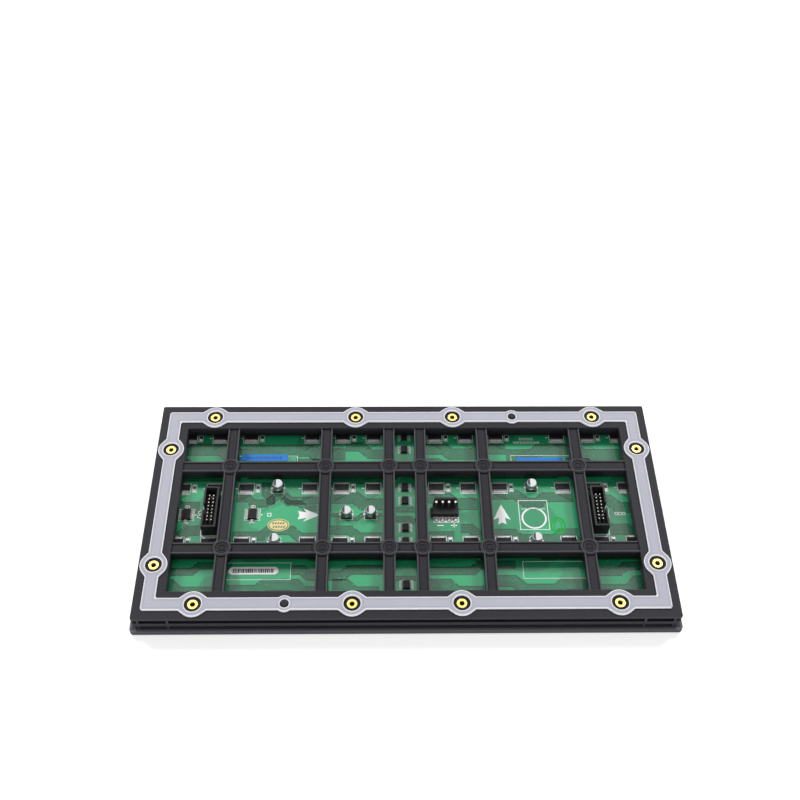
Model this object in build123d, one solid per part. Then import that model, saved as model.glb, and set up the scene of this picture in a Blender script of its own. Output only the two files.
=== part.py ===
from build123d import *
import math
import os

# LED display module, lying on its lamp face with the wiring side up.
# X runs along the module and Y across it, towards the edge that is mounted uppermost.
# The origin is the middle of the module, on the plane through the tips of its louvres.

# Pixel grid and outline
pixel_pitch = 10.0
pixel_columns = 32
pixel_rows = 16
tile_gap = 0.4
corner_radius = 2.0

# Louvred front mask
louvre_rise = 2.0
louvre_offset = 3.0
louvre_lean = 1.3
louvre_tip = 0.4
mask_floor = 1.8
window_size = 5.2
mask_edge_chamfer = 0.7
mask_frame_height = 0.5
mask_frame_width = 4.6

# Lamps and their board
lamp_size = 3.5
lamp_height = 2.8
board_thickness = 1.6
board_clearance = 0.4

# Rear case
case_inset = 2.0
case_height = 10.0
case_corner_radius = 1.2
frame_width = 18.0
case_wall = 1.8
case_rim = 1.2
case_top = 2.4
groove_depth = 1.6
lip_height = 1.6
fin_height = 2.9
fin_rise = 1.8
web_width = 1.2
web_corner_distance = 3.8
web_pair_distance = 17.0
part_headroom = 2.2

# Ribs and screw bosses of the rear case
rib_width = 7.2
rib_drop = 0.6
rib_bead = 1.0
rib_groove = 0.5
rib_columns = (1, 5, 11)
rib_row = 3
boss_radius = 5.8
boss_drop = 0.2
boss_recess_radius = 4.1
boss_recess = 0.4

# Fixings
insert_radius = 3.0
insert_bore_radius = 1.65
insert_height = 8.0
insert_proud = 0.3
insert_boss_radius = 5.0
insert_relief_radius = 2.2
insert_inset_x = 9.1
insert_inset_y = 9.4
insert_x_inner = 31.6
insert_x_outer = 123.0
insert_y_side = 42.3
post_radius = 2.1
post_height = 2.0
post_chamfer = 0.5
post_x = 70.5
fit_clearance = 0.03
screw_radius = 1.1
screw_clearance = 0.3
screw_head_radius = 2.2
screw_head_height = 1.1
screw_head_clearance = 0.4
screw_seat = 1.5
screw_bite = 6.5
pilot_margin = 0.5
hole_sides = 12
head_sides = 20

# Sealing gasket
gasket_width = 7.8
gasket_thickness = 1.0
gasket_corner_radius = 1.5
eyelet_radius = 8.1
eyelet_hole_radius = 5.0
post_eyelet_radius = 5.2
post_eyelet_hole_radius = 2.7
eyelet_shoulder_angle = 38.0

# Chips
part_row_offset = -0.5
part_column_step = 2
part_row_step = 4
driver_columns = (1, 2, 3, 5, 6, 7)
driver_size = (8.7, 3.9, 1.5)
switch_size = (3.9, 4.9, 1.5)
buffer_size = (5.3, 7.2, 1.7)
buffer_columns = (-13.55, -9.47)
resistor_columns = (-7, -5, -2, 1, 3, 6)
resistor_size = (1.6, 3.2, 0.6)
resistor_gap = 2.2
ceramic_size = (1.6, 2.0, 1.1)
ceramic_gap = 0.7

# Electrolytic capacitors
can_radius = 3.15
can_height = 4.8
can_crimp_height = 1.3
can_crimp_depth = 0.25
can_crimp_width = 0.7
can_top_edge = 0.4
can_base_size = 6.6
can_base_height = 1.0
can_base_corner = 1.3
side_can_column = 8.0
middle_can_columns = (-3.65, -2.15)

# Ribbon headers
header_column = 12.0
header_ways = 8
header_pitch = 2.54
header_width = 9.0
header_end_wall = 4.6
header_height = 9.0
header_wall = 1.1
header_floor = 2.0
header_end_recess = 3.5
key_width = 4.5
key_depth = 6.0
header_pin = 0.64
header_pin_drop = 1.2

# Power connector
power_ways = 4
power_pitch = 3.96
power_x = 25.1
power_front = -2.6
power_depth = 8.4
power_base_height = 3.6
power_end_margin = 2.0
power_wall = 1.3
power_wall_height = 9.2
power_wall_taper = 1.1
power_pin = 1.14
power_pin_height = 8.8
power_pin_gap = 1.0
power_leg_width = 0.9
power_leg_reach = 2.6
power_leg_thickness = 0.4
power_lug = (1.5, 5.4, 2.2)


# Derived sizes
module_length = pixel_pitch * pixel_columns - tile_gap
module_width = pixel_pitch * pixel_rows - tile_gap
board_front_z = louvre_rise + mask_floor
board_rear_z = board_front_z + board_thickness
case_rear_z = board_rear_z + case_height
case_length = module_length - 2 * case_inset
case_width = module_width - 2 * case_inset
opening_length = case_length - 2 * frame_width
opening_width = case_width - 2 * frame_width
wall_foot_z = board_rear_z + part_headroom
rib_top_z = case_rear_z - rib_drop
mask_frame_z = board_front_z + mask_frame_height
seat_length = module_length - 2 * mask_frame_width
seat_width = module_width - 2 * mask_frame_width
board_length = seat_length - 2 * board_clearance
board_width = seat_width - 2 * board_clearance
part_step_x = part_column_step * pixel_pitch
part_step_y = part_row_step * pixel_pitch
screw_hole_radius = screw_radius + screw_clearance
seal_x = case_length / 2 - insert_inset_x
seal_y = case_width / 2 - insert_inset_y

rib_x = [side * column * pixel_pitch for column in rib_columns for side in (-1, 1)]
rib_y = [side * rib_row * pixel_pitch for side in (-1, 1)]
boss_places = [(x, y) for x in rib_x for y in rib_y]
long_side_places = [
    (sx * x, sy * seal_y) for x in (insert_x_inner, insert_x_outer) for sx in (-1, 1) for sy in (-1, 1)
]
short_side_places = [(sx * seal_x, sy * insert_y_side) for sx in (-1, 1) for sy in (-1, 1)]
insert_places = long_side_places + short_side_places
post_places = [(post_x, seal_y), (-post_x, -seal_y)]
chip_rows = [(row - 1.5) * part_step_y + part_row_offset for row in range(4)]


def slab(length, width, low, high, radius=0.0):
    """A flat plate centred on the origin between two heights, with rounded corners if asked."""
    outline = RectangleRounded(length, width, radius) if radius else Rectangle(length, width)
    return Pos(0, 0, low) * extrude(outline, high - low)


def plate_at(x, y, size, low):
    """A box of the given size standing on a height, centred on a place."""
    return Pos(x, y, low + size[2] / 2) * Box(*size)


def rod(x, y, radius, low, high):
    """An upright cylinder between two heights."""
    return Pos(x, y, (low + high) / 2) * Cylinder(radius, high - low)


def faceted_rod(x, y, radius, low, high, sides):
    """An upright prism whose flats touch a circle of the given radius."""
    return Pos(x, y, low) * extrude(RegularPolygon(radius, sides, major_radius=False), high - low)


def louvre_section():
    """The mask's cross-section: one sloping land and one louvre for each row of lamps."""
    half = module_width / 2
    points = [(-half, board_front_z), (-half, 0)]
    for row in range(pixel_rows):
        lamp_line = (row - (pixel_rows - 1) / 2) * pixel_pitch
        foot = lamp_line + louvre_offset
        tip = foot + louvre_lean
        points.append((foot, louvre_rise))
        points.append((tip, 0))
        points.append((min(tip + louvre_tip, half), 0))
    points.append((half, board_front_z))
    return Plane.YZ * make_face(Polyline(points, close=True))


def make_mask():
    """Front mask: louvred plate with a window for each lamp and a low frame round the board."""
    plate = extrude(louvre_section(), module_length / 2, both=True)
    envelope = slab(module_length, module_width, 0, board_front_z, corner_radius)
    envelope = chamfer(envelope.faces().sort_by(Axis.Z)[0].edges(), mask_edge_chamfer)
    plate = plate & envelope
    frame = slab(module_length, module_width, board_front_z, mask_frame_z, corner_radius)
    shell = plate + (frame - slab(seat_length, seat_width, board_front_z, mask_frame_z))
    window = Box(window_size, window_size, 2 * board_front_z)
    windows = GridLocations(pixel_pitch, pixel_pitch, pixel_columns, pixel_rows) * window
    cuts = list(windows)
    head_radius = screw_head_radius + screw_head_clearance
    for x, y in boss_places:
        cuts.append(faceted_rod(x, y, screw_hole_radius, 0, 2 * board_front_z, hole_sides))
        cuts.append(faceted_rod(x, y, head_radius, -mask_floor, screw_seat, head_sides))
    return shell.cut(*cuts)


def make_board():
    """Circuit board with a clearance hole for each mask screw."""
    board = slab(board_length, board_width, board_front_z, board_rear_z)
    holes = [faceted_rod(x, y, screw_hole_radius, 0, case_rear_z, hole_sides) for x, y in boss_places]
    return board.cut(*holes)


def make_lamps():
    """One surface-mounted lamp behind each window, standing on the board's front face."""
    lamp = Box(lamp_size, lamp_size, lamp_height)
    grid = GridLocations(pixel_pitch, pixel_pitch, pixel_columns, pixel_rows)
    return list(Pos(0, 0, board_front_z - lamp_height / 2) * place * lamp for place in grid)


def make_ribs():
    """The lattice of ribs between the bosses, with a bead along both edges on top."""
    bed_width = rib_width - 2 * rib_bead
    bed_z = rib_top_z - rib_groove
    ribs = Part()
    cuts = []
    for x in rib_x:
        ribs += Pos(x, 0, 0) * slab(rib_width, opening_width, wall_foot_z, rib_top_z)
        cuts.append(Pos(x, 0, 0) * slab(bed_width, opening_width, bed_z, case_rear_z))
    for y in rib_y:
        ribs += Pos(0, y, 0) * slab(opening_length, rib_width, wall_foot_z, rib_top_z)
        cuts.append(Pos(0, y, 0) * slab(opening_length, bed_width, bed_z, case_rear_z))
    cuts += [rod(x, y, boss_radius, 0, case_rear_z) for x, y in boss_places]
    return ribs.cut(*cuts)


def make_bosses():
    """Round bosses where the ribs cross: they stand on the board and take the mask screws."""
    top = case_rear_z - boss_drop
    pilot_radius = screw_radius + fit_clearance
    pilot_top = board_rear_z + screw_bite + pilot_margin
    boss = rod(0, 0, boss_radius, board_rear_z, top)
    boss -= rod(0, 0, boss_recess_radius, top - boss_recess, case_rear_z)
    boss -= faceted_rod(0, 0, pilot_radius, 0, pilot_top, hole_sides)
    return [Pos(x, y, 0) * boss for x, y in boss_places]


def make_frame():
    """Frame of the rear case, as its two long sides and the two short sides between them."""
    wall_length = case_length - 2 * groove_depth
    wall_width = case_width - 2 * groove_depth
    wall = slab(wall_length, wall_width, mask_frame_z, case_rear_z)
    lip = slab(case_length, case_width, case_rear_z - lip_height, case_rear_z, case_corner_radius)
    fin_low = board_rear_z + fin_rise
    fin = slab(case_length, case_width, fin_low, fin_low + fin_height, case_corner_radius)
    body = wall + lip + fin

    web_x = case_length / 2 - web_corner_distance
    web_y = case_width / 2 - web_corner_distance
    for x in (web_x, web_x - web_pair_distance, web_pair_distance - web_x, -web_x):
        body += Pos(x, 0, 0) * slab(web_width, case_width, mask_frame_z, case_rear_z)
    for y in (web_y, web_y - web_pair_distance, web_pair_distance - web_y, -web_y):
        body += Pos(0, y, 0) * slab(case_length, web_width, mask_frame_z, case_rear_z)

    rim_hollow = slab(wall_length - 2 * case_rim, wall_width - 2 * case_rim, 0, board_rear_z)
    channel = slab(wall_length - 2 * case_wall, wall_width - 2 * case_wall, 0, case_rear_z - case_top)
    opening = slab(opening_length, opening_width, 0, 2 * case_rear_z)
    inner_wall = slab(
        opening_length + 2 * case_wall, opening_width + 2 * case_wall, wall_foot_z, case_rear_z
    )
    body = body - rim_hollow - channel + inner_wall - opening

    boss_size = (2 * insert_boss_radius, 2 * insert_boss_radius, case_height)
    for x, y in insert_places:
        body += plate_at(x, y, boss_size, board_rear_z)
    for x, y in post_places:
        post = rod(x, y, post_radius, case_rear_z - case_top, case_rear_z + post_height)
        body += chamfer(post.faces().sort_by(Axis.Z)[-1].edges(), post_chamfer)

    pocket_floor = case_rear_z + insert_proud - insert_height
    pocket = rod(0, 0, insert_radius + fit_clearance, pocket_floor, 2 * case_rear_z)
    pocket += faceted_rod(0, 0, insert_relief_radius, 0, pocket_floor, hole_sides)
    body = body.cut(*[Pos(x, y, 0) * pocket for x, y in insert_places])
    middle = slab(module_length, opening_width, 0, 2 * case_rear_z)
    return list((body - middle).solids()) + list((body & middle).solids())


def eyelet(x, y, radius, along_x):
    """Outline of a round eyelet on the gasket strip, with straight shoulders tangent to it."""
    half = gasket_width / 2
    angle = math.radians(eyelet_shoulder_angle)
    tangent = (radius * math.sin(angle), radius * math.cos(angle))
    shoulder = (radius - half * math.cos(angle)) / math.sin(angle)
    corners = [
        (-shoulder, half), (-tangent[0], tangent[1]), (tangent[0], tangent[1]), (shoulder, half),
        (shoulder, -half), (tangent[0], -tangent[1]), (-tangent[0], -tangent[1]), (-shoulder, -half),
    ]
    shape = make_face(Polyline(corners, close=True)) + Circle(radius)
    return Pos(x, y) * Rot(0, 0, 0 if along_x else 90) * shape


def make_gasket():
    """Flat sealing gasket round the rear face, with an eyelet at each insert and post."""
    outline = RectangleRounded(2 * seal_x + gasket_width, 2 * seal_y + gasket_width, gasket_corner_radius)
    for x, y in long_side_places:
        outline += eyelet(x, y, eyelet_radius, True)
    for x, y in short_side_places:
        outline += eyelet(x, y, eyelet_radius, False)
    for x, y in post_places:
        outline += eyelet(x, y, post_eyelet_radius, True)
    inside = RectangleRounded(2 * seal_x - gasket_width, 2 * seal_y - gasket_width, gasket_corner_radius)
    inner_eyelets = [eyelet(x, y, eyelet_radius, True) for x, y in long_side_places]
    inner_eyelets += [eyelet(x, y, eyelet_radius, False) for x, y in short_side_places]
    inner_eyelets += [eyelet(x, y, post_eyelet_radius, True) for x, y in post_places]
    for shape in inner_eyelets:
        inside -= shape
    outline -= inside
    for x, y in insert_places:
        outline -= Pos(x, y) * Circle(eyelet_hole_radius)
    for x, y in post_places:
        outline -= Pos(x, y) * Circle(post_eyelet_hole_radius)
    return Pos(0, 0, case_rear_z) * extrude(outline, gasket_thickness)


def make_inserts():
    """Brass threaded inserts, pressed into the frame and a little proud of its face."""
    top = case_rear_z + insert_proud
    ring = Cylinder(insert_radius, insert_height) - Cylinder(insert_bore_radius, insert_height)
    return [Pos(x, y, top - insert_height / 2) * ring for x, y in insert_places]


def make_screws():
    """Screws that clamp mask, board and case together from the lamp side."""
    head_low = screw_seat - screw_head_height
    shank_top = board_rear_z + screw_bite
    head = faceted_rod(0, 0, screw_head_radius, head_low, screw_seat, head_sides)
    shank = faceted_rod(0, 0, screw_radius, screw_seat, shank_top, hole_sides)
    return [Pos(x, y, 0) * (head + shank) for x, y in boss_places]


def make_chips(size, places):
    """Chip bodies of one size on the board's rear face."""
    return [plate_at(x, y, size, board_rear_z) for x, y in places]


def make_cans(places):
    """Aluminium cans of the electrolytic capacitors, crimped above the base."""
    low = board_rear_z + can_base_height
    top = low + can_height
    crimp = low + can_crimp_height
    half = can_crimp_width / 2
    outline = [
        (0, low), (can_radius, low), (can_radius, crimp - half), (can_radius - can_crimp_depth, crimp),
        (can_radius, crimp + half), (can_radius, top - can_top_edge), (can_radius - can_top_edge, top), (0, top),
    ]
    can = revolve(Plane.XZ * make_face(Polyline(outline, close=True)), Axis.Z)
    return [Pos(x, y, 0) * can for x, y in places]


def make_can_bases(places):
    """Plastic bases of the capacitors, with two corners cut off to mark the poles."""
    base = slab(can_base_size, can_base_size, board_rear_z, board_rear_z + can_base_height)
    marked = base.edges().filter_by(Axis.Z).group_by(Axis.Y)[-1]
    base = chamfer(marked, can_base_corner)
    return [Pos(x, y, 0) * base for x, y in places]


def make_header(side):
    """Shrouded ribbon header with a key slot in its outer wall."""
    length = (header_ways - 1) * header_pitch + 2 * header_end_wall + header_pitch
    top = board_rear_z + header_height
    shroud = slab(header_width, length, board_rear_z, top)
    shroud -= slab(header_width - 2 * header_wall, length - 2 * header_wall, board_rear_z + header_floor, top)
    slot_x = side * (header_width - header_wall) / 2
    shroud -= Pos(slot_x, 0, 0) * slab(2 * header_wall, key_width, top - key_depth, 2 * top)
    return Pos(side * header_column * pixel_pitch, 0, 0) * shroud


def make_header_pins(side):
    """Two rows of square pins standing on the floor of a ribbon header."""
    low = board_rear_z + header_floor
    size = (header_pin, header_pin, header_height - header_pin_drop - header_floor)
    middle = side * header_column * pixel_pitch
    grid = GridLocations(header_pitch, header_pitch, 2, header_ways)
    return [plate_at(middle + p.position.X, p.position.Y, size, low) for p in grid]


def make_power_connector():
    """Four-way power connector: a base with a tapered latch wall along its rear edge."""
    width = (power_ways - 1) * power_pitch + 2 * power_end_margin
    middle_y = power_front + power_depth / 2
    base = plate_at(power_x, middle_y, (width, power_depth, power_base_height), board_rear_z)
    low = board_rear_z
    high = board_rear_z + power_wall_height
    corners = [
        (-width / 2, low), (width / 2, low),
        (width / 2 - power_wall_taper, high), (power_wall_taper - width / 2, high),
    ]
    wall_face = Plane.XZ * make_face(Polyline(corners, close=True))
    wall = Pos(power_x, power_front + power_depth, 0) * extrude(wall_face, power_wall)
    lug_x = power_x - width / 2 - power_lug[0] / 2
    lug = plate_at(lug_x, power_front + power_lug[1] / 2, power_lug, board_rear_z)
    return base + wall + lug


def power_pin_places():
    """Places of the power pins along the latch wall."""
    first = power_x - (power_ways - 1) * power_pitch / 2
    y = power_front + power_depth - power_wall - power_pin_gap - power_pin / 2
    return [(first + way * power_pitch, y) for way in range(power_ways)]


def make_power_pins():
    """Power pins above the base, with the flat legs that come out of its front."""
    low = board_rear_z + power_base_height
    pin = (power_pin, power_pin, power_pin_height - power_base_height)
    leg = (power_leg_width, power_leg_reach, power_leg_thickness)
    leg_y = power_front - power_leg_reach / 2
    pins = [plate_at(x, y, pin, low) for x, y in power_pin_places()]
    return pins + [plate_at(x, leg_y, leg, board_rear_z) for x, _ in power_pin_places()]


driver_places = [
    (side * column * part_step_x, y) for y in chip_rows for column in driver_columns for side in (-1, 1)
]
switch_places = [(0, y) for y in chip_rows]
switch_places += [(0, y + side * pixel_pitch) for side, y in zip((1, 1, -1, -1), chip_rows)]
buffer_places = [(column * pixel_pitch, part_row_offset) for column in buffer_columns]
resistor_x = driver_size[0] / 2 + resistor_gap + resistor_size[0] / 2
resistor_places = [(column * part_step_x + resistor_x, y) for y in chip_rows for column in resistor_columns]
ceramic_y = (buffer_size[1] + ceramic_size[1]) / 2 + ceramic_gap
ceramic_places = [(x, y + side * ceramic_y) for x, y in buffer_places for side in (-1, 1)]
can_places = [
    (side * side_can_column * pixel_pitch, y) for side in (-1, 1) for y in chip_rows[1:3]
]
can_places += [(column * pixel_pitch, part_row_offset) for column in middle_can_columns]

nodes = {
    "front_mask": make_mask(),
    "lamp_board": make_board(),
    "led_lamps": make_lamps(),
    "rear_case_frame": make_frame(),
    "rear_case_ribs": list(make_ribs().solids()),
    "screw_bosses": make_bosses(),
    "sealing_gasket": make_gasket(),
    "threaded_inserts": make_inserts(),
    "mask_screws": make_screws(),
    "driver_chips": make_chips(driver_size, driver_places),
    "row_switch_chips": make_chips(switch_size, switch_places),
    "buffer_chips": make_chips(buffer_size, buffer_places),
    "chip_resistors": make_chips(resistor_size, resistor_places),
    "ceramic_capacitors": make_chips(ceramic_size, ceramic_places),
    "capacitor_bases": make_can_bases(can_places),
    "capacitor_cans": make_cans(can_places),
    "input_header": make_header(-1),
    "input_header_pins": make_header_pins(-1),
    "output_header": make_header(1),
    "output_header_pins": make_header_pins(1),
    "power_connector": make_power_connector(),
    "power_pins": make_power_pins(),
}

os.makedirs("parts", exist_ok=True)
for name, shape in nodes.items():
    group = Compound(children=shape) if isinstance(shape, list) else shape
    export_step(group, f"parts/{name}.step")
    print(name, group.is_valid)
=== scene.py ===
import math

import bpy
import numpy as np
from mathutils import Matrix, Vector


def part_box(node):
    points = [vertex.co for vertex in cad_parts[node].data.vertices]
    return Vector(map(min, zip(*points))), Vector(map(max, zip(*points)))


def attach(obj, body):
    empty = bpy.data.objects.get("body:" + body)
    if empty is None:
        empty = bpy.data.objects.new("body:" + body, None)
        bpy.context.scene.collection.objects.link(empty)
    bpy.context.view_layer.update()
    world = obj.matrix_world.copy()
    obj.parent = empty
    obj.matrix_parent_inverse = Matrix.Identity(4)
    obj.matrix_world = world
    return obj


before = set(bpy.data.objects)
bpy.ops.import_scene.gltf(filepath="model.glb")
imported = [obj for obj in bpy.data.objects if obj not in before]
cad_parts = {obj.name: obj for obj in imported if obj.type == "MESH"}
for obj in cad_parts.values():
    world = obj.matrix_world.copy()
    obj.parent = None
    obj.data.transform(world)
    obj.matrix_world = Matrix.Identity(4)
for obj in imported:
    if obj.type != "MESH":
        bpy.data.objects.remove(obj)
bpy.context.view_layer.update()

# Front mask
# One black moulding with a louvre over each row of lamps, clamped to the case by twelve screws.
# Its grain is fine and a little cloudy, edges are painted paler as a highlight, and the ledge round the
# case is painted paler as light.

ledge_x, ledge_y, ledge_z = 157.6, 77.6, 4.2


class Field:
    """A shader socket that can take part in sums, products and comparisons."""

    def __init__(self, surface, socket):
        self.surface = surface
        self.socket = socket

    def __add__(self, other):
        return self.surface.maths("ADD", self, other)

    def __radd__(self, other):
        return self.surface.maths("ADD", other, self)

    def __sub__(self, other):
        return self.surface.maths("SUBTRACT", self, other)

    def __rsub__(self, other):
        return self.surface.maths("SUBTRACT", other, self)

    def __mul__(self, other):
        return self.surface.maths("MULTIPLY", self, other)

    def __rmul__(self, other):
        return self.surface.maths("MULTIPLY", other, self)

    def __abs__(self):
        return self.surface.maths("ABSOLUTE", self)

    def __gt__(self, other):
        return self.surface.maths("GREATER_THAN", self, other)

    def __lt__(self, other):
        return self.surface.maths("LESS_THAN", self, other)

    def ramp(self, low, high):
        """0 below low, 1 above high and a smooth step between them."""
        span = {"Value": self, "From Min": low, "From Max": high}
        return self.surface.node("ShaderNodeMapRange", inputs=span, interpolation_type="SMOOTHSTEP")

    def band(self, centre, inner, outer):
        """1 within inner of the centre, 0 beyond outer and a smooth step between them."""
        return 1 - abs(self - centre).ramp(inner, outer)


class Surface:
    """A material or the world: its shader, and one general way to add nodes that feed it."""

    def __init__(self, name, kind="materials", shader="Principled BSDF"):
        self.data = getattr(bpy.data, kind).new(name)
        self.data.use_nodes = True
        self.tree = self.data.node_tree
        self.shader = self.tree.nodes[shader]

    def feed(self, socket, value):
        """Links a field to a socket, or sets the socket to a constant."""
        if isinstance(value, Field):
            self.tree.links.new(value.socket, socket)
        else:
            socket.default_value = value

    def node(self, kind, out=0, inputs=None, **settings):
        """Adds a node with its settings and inputs and returns one of its outputs."""
        made = self.tree.nodes.new(kind)
        for key, value in settings.items():
            setattr(made, key, value)
        for key, value in (inputs or {}).items():
            self.feed(made.inputs[key], value)
        return Field(self, made.outputs[out])

    def maths(self, operation, *values):
        """One Math node on fields or numbers."""
        return self.node("ShaderNodeMath", inputs=dict(enumerate(values)), operation=operation)

    def place(self, stretch=(1, 1, 1)):
        """Position in the module's frame in millimetres, stretched along each axis."""
        spot = self.node("ShaderNodeTexCoord", out="Object")
        scale = [1000 * s for s in stretch]
        return self.node("ShaderNodeVectorMath", inputs={0: spot, 1: scale}, operation="MULTIPLY")

    def axes(self):
        """The x, y and z of the position in millimetres."""
        split = self.tree.nodes.new("ShaderNodeSeparateXYZ")
        self.feed(split.inputs[0], self.place())
        return [Field(self, output) for output in split.outputs]

    def noise(self, per_mm, detail=3.0, roughness=0.5, stretch=(1, 1, 1)):
        """Noise from 0 to 1 with so many lumps to the millimetre."""
        spot = {"Vector": self.place(stretch), "Scale": per_mm, "Detail": detail, "Roughness": roughness}
        return self.node("ShaderNodeTexNoise", inputs=spot)

    def blend(self, amount, first, second):
        """A colour between two colours."""
        first, second = [c if isinstance(c, Field) else (*c, 1) for c in (first, second)]
        return self.node("ShaderNodeMix", out=2, inputs={0: amount, 6: first, 7: second}, data_type="RGBA")

    def round_edges(self, radius_mm):
        """A normal that looks like edges rounded by so many millimetres."""
        return self.node("ShaderNodeBevel", inputs={"Radius": radius_mm / 1000}, samples=6)

    def bump(self, height, depth_mm, normal=None):
        """A bumped normal: height from 0 to 1 stands for so many millimetres."""
        wanted = {"Height": height, "Distance": depth_mm / 1000, "Strength": 1.0}
        if normal:
            wanted["Normal"] = normal
        return self.node("ShaderNodeBump", inputs=wanted)

    def seen(self):
        """1 where the camera, a reflection or a clear piece shows this surface, else 0."""
        kinds = ("Camera", "Glossy", "Transmission")
        camera, glossy, clear = [self.node("ShaderNodeLightPath", out=f"Is {kind} Ray") for kind in kinds]
        return self.maths("MINIMUM", camera + glossy + clear, 1.0)

    def finish(self, **values):
        """Feeds the shader's inputs by name, with underscores for spaces."""
        for key, value in values.items():
            if key.endswith("Color") and not isinstance(value, Field):
                value = (*value, 1)
            self.feed(self.shader.inputs[key.replace("_", " ")], value)
        return self


def larger(first, *others):
    """The largest of several fields."""
    for other in others:
        first = first.surface.maths("MAXIMUM", first, other)
    return first


def smaller(first, *others):
    """The smallest of several fields."""
    for other in others:
        first = first.surface.maths("MINIMUM", first, other)
    return first


def reach(across, along):
    """The length of two offsets at right angles: the root of the sum of their squares."""
    return across.surface.maths("SQRT", across * across + along * along)


def plastic(name, tint, edge_mm, grain_mm=0.012, gloss=0.5, dust=0.2, shine=0.5, edge_highlight=0.0, painted_light=None):
    """Moulded plastic: fine grain, cloudy gloss, soft edges painted paler as a highlight, a thin film of
    dust.

    Edges are found where the rounded normal leans away from the flat one. The painted light is a function
    that gives how much paler the plastic is painted as highlight and how much darker as shade at each
    point.
    """
    moulding = Surface(name)
    cloud = moulding.noise(0.06, 4)
    grain = moulding.noise(4.5, 2)
    film = moulding.noise(0.35, 6, 0.65).ramp(0.5, 0.8) * dust
    dusty = [0.6 * c + 0.018 for c in tint]
    wear_and_painted_light = [4.0 * c + 0.03 for c in tint]
    clean = moulding.blend(cloud, [0.85 * c for c in tint], [1.15 * c for c in tint])
    colour = moulding.blend(film, clean, dusty)
    soft = moulding.round_edges(edge_mm)
    # Painted highlight: edges are painted paler where the rounded normal leans away from the flat one.
    if edge_highlight:
        flat = moulding.node("ShaderNodeNewGeometry", out="True Normal")
        normals = {0: soft, 1: flat}
        alike = moulding.node("ShaderNodeVectorMath", out="Value", inputs=normals, operation="DOT_PRODUCT")
        colour = moulding.blend((1 - alike).ramp(0.012, 0.13) * edge_highlight, colour, wear_and_painted_light)
    # Painted light: a paler tone as highlight and near-black of the tint as shade, where the function puts
    # them.
    if painted_light:
        pale, dark = painted_light(moulding)
        colour = moulding.blend(dark, moulding.blend(pale, colour, wear_and_painted_light), [0.08 * c for c in tint])
    return moulding.finish(
        Base_Color=colour,
        Roughness=gloss + cloud * 0.14 + film * 0.2,
        Specular_IOR_Level=shine,
        Normal=moulding.bump(grain, grain_mm, soft),
    )


def dress(node, surface):
    """Gives a CAD node its material."""
    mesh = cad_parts[node].data
    mesh.materials.clear()
    mesh.materials.append(surface.data)


def ledge_painted_light(mask):
    """Painted light: a paler colour that grows outwards from the foot of the case, on the ledge above the
    louvred plate.
    """
    x, y, z = mask.axes()
    past_case = larger(abs(x) - ledge_x, abs(y) - ledge_y)
    return past_case.ramp(0.3, 1.2) * (z > ledge_z) * 0.65, 0.0


# Painted highlight on the edges and painted light on the ledge.
mask_plastic = plastic(
    "mask plastic", (0.043, 0.041, 0.049), edge_mm=0.3, shine=0.2, edge_highlight=0.8, painted_light=ledge_painted_light
)
dress("front_mask", mask_plastic)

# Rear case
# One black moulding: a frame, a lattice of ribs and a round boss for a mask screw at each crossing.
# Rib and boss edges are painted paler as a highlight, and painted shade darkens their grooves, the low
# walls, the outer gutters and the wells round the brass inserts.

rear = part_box("sealing_gasket")[0].z * 1000
rib_x = (10.0, 50.0, 110.0)
rib_y = 30.0
rib_half_width = 3.6
boss_radius = 5.8
insert_x = (31.6, 123.0)
insert_y = 42.3
seal_x, seal_y = 148.7, 68.4
opening_x, opening_y = 140.0, 60.0
gutter_x, gutter_y = 156.2, 76.2


def case_painted_light(case):
    """Painted highlights on edges and painted shade in grooves and wells, from the distances to ribs,
    bosses, inserts and outer edges.

    Each line is a band that is 1 at a set distance from the middle of a rib or a boss.
    """
    x, y, z = case.axes()
    side_x, side_y, height = abs(x), abs(y), z - rear
    across = smaller(*[abs(side_x - column) for column in rib_x])
    along = abs(side_y - rib_y)
    off_boss = reach(across, along)
    off_rib = smaller(across, along)
    upper = height.ramp(-1.9, -1.5) * ((side_x < opening_x) * (side_y < opening_y))

    lattice = smaller(off_rib - rib_half_width, off_boss - boss_radius)
    # Painted highlights along the rib edges and the boss rims.
    rib_edge = lattice.band(-0.3, 0.2, 0.5) * upper
    ring_edge = off_boss.band(4.5, 0.1, 0.35) * upper
    # Painted shade: a dark line inside each rib bead, a dark ring in each boss recess, one at each boss's
    # foot, and an outline inside each square.
    bead_line = off_rib.band(2.3, 0.25, 0.6) * (off_boss > boss_radius + 0.4) * upper
    boss_ring = off_boss.band(3.9, 0.25, 0.5) * upper
    boss_foot = off_boss.band(6.25, 0.3, 0.55) * (off_rib < 2.8) * upper
    boss_square = larger(across, along).band(1.55, 0.25, 0.55) * upper
    painted_groove_shade = larger(bead_line, boss_ring, boss_foot, boss_square)

    # Painted shade in the shallow well round each brass insert.
    off_seat = smaller(*[abs(side_x - seat) for seat in insert_x])
    long_side = reach(off_seat, side_y - seal_y)
    short_side = reach(side_x - seal_x, side_y - insert_y)
    well = 1 - smaller(long_side, short_side).ramp(4.9, 5.1)

    # Painted shade low on the walls inside the openings and in the outer gutters; the rib tops inside the
    # openings are a little darker.
    inside = (side_x < opening_x + 0.2) * (side_y < opening_y + 0.2)
    low_wall = (1 - height.ramp(-2.6, -1.6)) * inside * 0.45
    outward = larger(side_x - gutter_x, side_y - gutter_y)
    gutter = (1 - outward.ramp(0.1, 1.1)) * (outward > -14.0) * (z < rear - 1.7) * 0.85
    dark = larger(painted_groove_shade * 0.9, well * 0.8, low_wall, gutter, upper * 0.2)
    return larger(rib_edge, ring_edge) * 0.8, dark


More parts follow.
